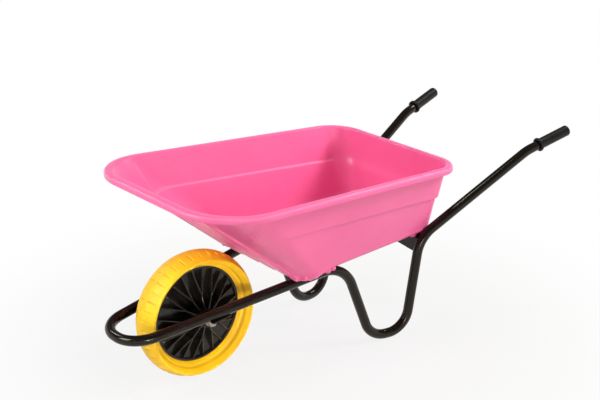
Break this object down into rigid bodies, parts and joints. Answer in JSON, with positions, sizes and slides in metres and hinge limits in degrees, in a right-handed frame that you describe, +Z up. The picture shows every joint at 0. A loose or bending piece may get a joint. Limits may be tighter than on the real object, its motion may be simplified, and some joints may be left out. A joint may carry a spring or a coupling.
{
  "type": "wheelbarrow",
  "caption": "Garden wheelbarrow with a deep moulded plastic tray on a bent-tube frame, sleeve grips, looped legs and a solid-tyred front wheel turning on a fixed axle.",
  "frame": {"origin": "centre of the outline on the ground, between the wheel and the grips", "axes": "+X forwards to the wheel, +Y to the user's left, +Z up; it stands on Z = 0 on its wheel and two legs"},
  "size_m": [1.4535, 0.6212, 0.5583],
  "materials": {
    "frame_paint": "gloss black paint on bent steel tube and pressed plate",
    "tray_plastic": "satin to gloss moulded polyethylene, bright pink",
    "grip_plastic": "smooth black vinyl sleeve",
    "tyre_foam": "satin yellow solid tyre",
    "hub_plastic": "black moulded wheel centre",
    "bush_plastic": "natural nylon",
    "zinc_steel": "bright zinc plate"
  },
  "bodies": {
    "chassis": {"frame_tube": "frame_paint", "rear_cross_brace": "frame_paint", "front_cross_strap": "frame_paint", "axle_bracket_left": "frame_paint", "axle_bracket_right": "frame_paint", "tray": "tray_plastic", "grip_left": "grip_plastic", "grip_right": "grip_plastic", "axle": "zinc_steel", "axle_spacer_left": "zinc_steel", "axle_spacer_right": "zinc_steel", "axle_washers": "zinc_steel", "axle_nuts": "zinc_steel", "tray_bolts": "zinc_steel", "tray_washers": "zinc_steel", "tray_lower_washers": "zinc_steel", "tray_nuts": "zinc_steel"},
    "wheel": {"tyre": "tyre_foam", "wheel_hub": "hub_plastic", "hub_bush_left": "bush_plastic", "hub_bush_right": "bush_plastic"}
  },
  "joints": [
    {"name": "wheel_spin", "type": "hinge", "parent": "chassis", "child": "wheel", "pos_m": [0.459, 0, 0.178], "axis": [0, 1, 0], "continuous": true}
  ]
}
